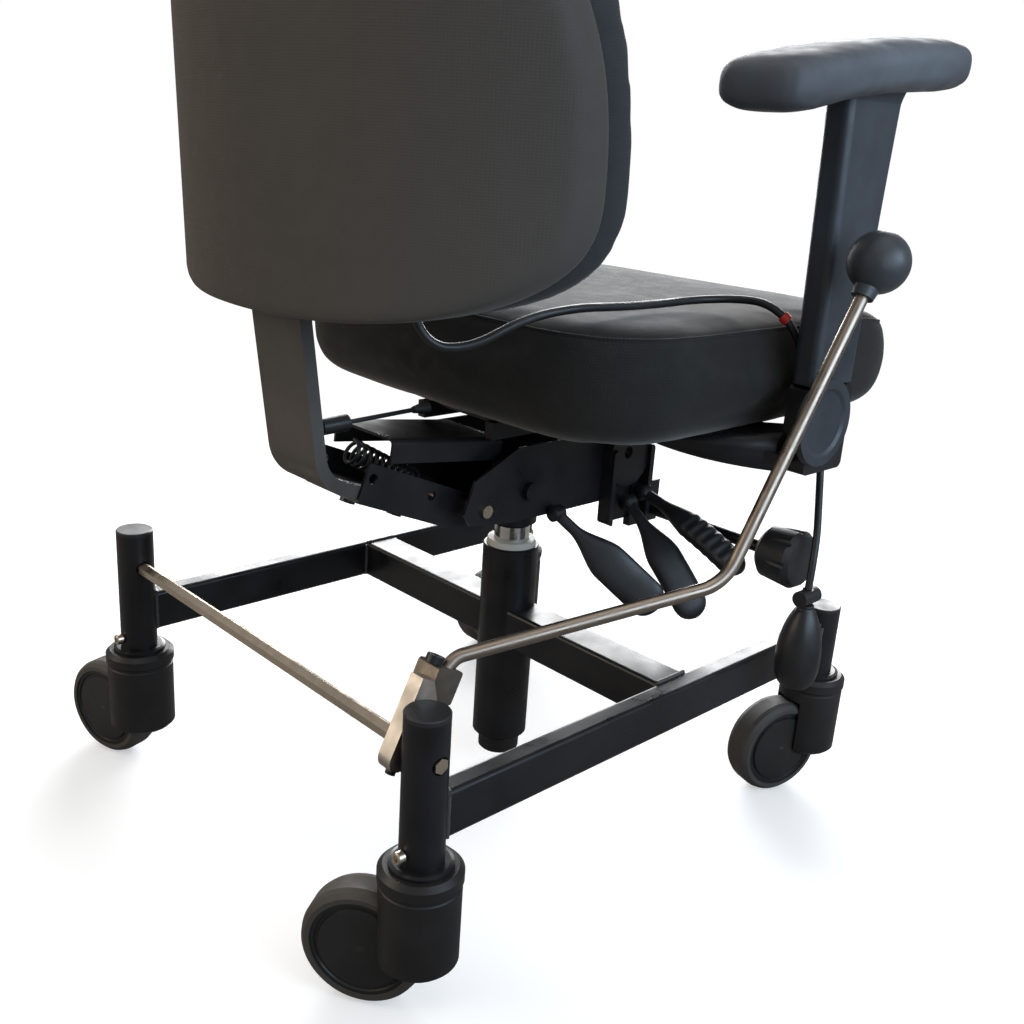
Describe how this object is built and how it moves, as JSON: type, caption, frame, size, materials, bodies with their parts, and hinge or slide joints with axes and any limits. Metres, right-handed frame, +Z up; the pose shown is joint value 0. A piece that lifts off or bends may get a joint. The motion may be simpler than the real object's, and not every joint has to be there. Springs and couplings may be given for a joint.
{
  "type": "mobile work chair",
  "caption": "Upholstered work chair on a castored steel frame with a hand brake, gas lift, tilting mechanism, height-adjustable armrests and a hand-pumped back cushion.",
  "frame": {"origin": "on the floor under the axis of the lift column", "axes": "+Z up, the chair faces -Y, the sitter's right is -X"},
  "size_m": [0.6522, 0.6975, 0.8967],
  "materials": {
    "frame_paint": "semi-gloss black powder coat",
    "housing_paint": "satin black",
    "bush_plastic": "pale plastic",
    "chrome": "polished",
    "bright_steel": "stainless or zinc plated",
    "wheel_plastic": "dark",
    "tread": "soft light tread",
    "black_plastic": "fine texture",
    "knob_plastic": "smooth",
    "mech_steel": "black",
    "seat_fabric": "woven upholstery",
    "arm_foam": "soft polyurethane",
    "hose_rubber": "black",
    "coupling_red": "red"
  },
  "bodies": {
    "base": {"side_rail_left": "frame_paint", "side_rail_right": "frame_paint", "crossbar": "frame_paint", "column_tube": "frame_paint", "column_bush": "bush_plastic", "gas_cylinder": "housing_paint", "rear_posts": "frame_paint", "front_posts": "frame_paint", "post_caps": "black_plastic", "set_screws": "bright_steel", "castor_stems": "bright_steel"},
    "castor_rear_left": {"castor_housing_rear_left": "housing_paint"},
    "wheel_rear_left": {"wheel_core_rear_left": "wheel_plastic", "tyre_rear_left": "tread"},
    "castor_rear_right": {"castor_housing_rear_right": "housing_paint"},
    "wheel_rear_right": {"wheel_core_rear_right": "wheel_plastic", "tyre_rear_right": "tread"},
    "castor_front_left": {"castor_housing_front_left": "housing_paint"},
    "wheel_front_left": {"wheel_core_front_left": "wheel_plastic", "tyre_front_left": "tread"},
    "castor_front_right": {"castor_housing_front_right": "housing_paint"},
    "wheel_front_right": {"wheel_core_front_right": "wheel_plastic", "tyre_front_right": "tread"},
    "brake": {"hex_bar": "bright_steel", "brake_clamp": "mech_steel", "brake_rod": "bright_steel", "brake_knob": "knob_plastic", "clamp_bolts": "mech_steel"},
    "lift": {"piston_tube": "chrome"},
    "mechanism": {"mechanism_housing": "mech_steel", "mechanism_cover": "mech_steel", "mechanism_pins": "bright_steel"},
    "seat": {"seat_pan": "black_plastic", "seat_cushion": "seat_fabric", "seat_frame": "mech_steel", "arm_bracket_left": "mech_steel", "arm_bracket_right": "mech_steel", "pump_hose": "hose_rubber", "pump_bulb": "hose_rubber", "pump_valve": "black_plastic", "hose_coupling": "coupling_red"},
    "back_arm": {"back_carrier": "mech_steel", "back_bar": "mech_steel", "tilt_spring": "mech_steel", "back_cable": "mech_steel"},
    "back": {"back_slide": "mech_steel", "back_shell": "black_plastic", "back_cushion": "seat_fabric"},
    "arm_left": {"arm_upright_left": "black_plastic", "arm_pad_left": "arm_foam"},
    "hand_wheel_left": {"arm_knob_left": "black_plastic"},
    "arm_right": {"arm_upright_right": "black_plastic", "arm_pad_right": "arm_foam"},
    "hand_wheel_right": {"arm_knob_right": "black_plastic"},
    "lift_lever": {"lever_lift": "black_plastic"},
    "seat_lever": {"lever_seat": "black_plastic"},
    "back_lever": {"lever_back": "black_plastic"},
    "tension": {"tension_shaft": "mech_steel", "tension_knob": "black_plastic"}
  },
  "joints": [
    {"name": "castor_swivel_rear_left", "type": "hinge", "parent": "base", "child": "castor_rear_left", "pos_m": [0.227, 0.295, 0.1275], "axis": [0, 0, 1], "continuous": true},
    {"name": "wheel_spin_rear_left", "type": "hinge", "parent": "castor_rear_left", "child": "wheel_rear_left", "pos_m": [0.26689, 0.30644, 0.05], "axis": [-0.2756, 0.9613, 0], "continuous": true},
    {"name": "castor_swivel_rear_right", "type": "hinge", "parent": "base", "child": "castor_rear_right", "pos_m": [-0.227, 0.295, 0.1275], "axis": [0, 0, 1], "continuous": true},
    {"name": "wheel_spin_rear_right", "type": "hinge", "parent": "castor_rear_right", "child": "wheel_rear_right", "pos_m": [-0.1922, 0.3176, 0.05], "axis": [-0.5446, 0.8387, 0], "continuous": true},
    {"name": "castor_swivel_front_left", "type": "hinge", "parent": "base", "child": "castor_front_left", "pos_m": [0.227, -0.236, 0.1275], "axis": [0, 0, 1], "continuous": true},
    {"name": "wheel_spin_front_left", "type": "hinge", "parent": "castor_front_left", "child": "wheel_front_left", "pos_m": [0.22845, -0.19453, 0.05], "axis": [-0.9994, 0.0349, 0], "continuous": true},
    {"name": "castor_swivel_front_right", "type": "hinge", "parent": "base", "child": "castor_front_right", "pos_m": [-0.227, -0.236, 0.1275], "axis": [0, 0, 1], "continuous": true},
    {"name": "wheel_spin_front_right", "type": "hinge", "parent": "castor_front_right", "child": "wheel_front_right", "pos_m": [-0.21487, -0.19631, 0.05], "axis": [-0.9563, 0.2924, 0], "continuous": true},
    {"name": "brake_lever", "type": "hinge", "parent": "base", "child": "brake", "pos_m": [0, 0.295, 0.2174], "axis": [1, 0, 0], "range_deg": [0, 30]},
    {"name": "seat_lift", "type": "slide", "parent": "base", "child": "lift", "axis": [0, 0, 1], "range_m": [-0.015, 0.12]},
    {"name": "seat_swivel", "type": "hinge", "parent": "lift", "child": "mechanism", "pos_m": [0, 0, 0.3], "axis": [0, 0, 1], "range_deg": [-8, 35], "deforming": ["pump_bulb", "pump_valve", "pump_hose"]},
    {"name": "seat_tilt", "type": "hinge", "parent": "mechanism", "child": "seat", "pos_m": [0, -0.085, 0.35], "axis": [1, 0, 0], "range_deg": [-3, 8], "deforming": ["pump_hose"]},
    {"name": "back_recline", "type": "hinge", "parent": "mechanism", "child": "back_arm", "pos_m": [0, 0.095, 0.318], "axis": [-1, 0, 0], "range_deg": [-5, 18], "deforming": ["tilt_spring", "back_cable", "pump_hose"]},
    {"name": "back_height", "type": "slide", "parent": "back_arm", "child": "back", "axis": [0, 0.1291, 0.9916], "range_m": [-0.02, 0.06], "deforming": ["pump_hose"]},
    {"name": "arm_height_left", "type": "slide", "parent": "seat", "child": "arm_left", "axis": [0, 0, 1], "range_m": [0, 0.07]},
    {"name": "arm_lock_left", "type": "hinge", "parent": "seat", "child": "hand_wheel_left", "pos_m": [0.275, -0.091, 0.426], "axis": [1, 0, 0], "continuous": true},
    {"name": "arm_height_right", "type": "slide", "parent": "seat", "child": "arm_right", "axis": [0, 0, 1], "range_m": [0, 0.07]},
    {"name": "arm_lock_right", "type": "hinge", "parent": "seat", "child": "hand_wheel_right", "pos_m": [-0.275, -0.091, 0.426], "axis": [1, 0, 0], "continuous": true},
    {"name": "lift_lever_turn", "type": "hinge", "parent": "mechanism", "child": "lift_lever", "pos_m": [-0.069, 0.01, 0.303], "axis": [0, 1, 0], "range_deg": [-8, 0], "stiffness_Nm_per_rad": 2},
    {"name": "seat_lever_turn", "type": "hinge", "parent": "mechanism", "child": "seat_lever", "pos_m": [-0.078, -0.084, 0.3], "axis": [0, 1, 0], "range_deg": [-8, 0], "stiffness_Nm_per_rad": 2},
    {"name": "back_lever_turn", "type": "hinge", "parent": "mechanism", "child": "back_lever", "pos_m": [-0.078, -0.108, 0.306], "axis": [0, 1, 0], "range_deg": [-8, 0], "stiffness_Nm_per_rad": 2},
    {"name": "tension_turn", "type": "hinge", "parent": "mechanism", "child": "tension", "pos_m": [-0.2, -0.13, 0.283], "axis": [1, 0, 0], "continuous": true}
  ]
}
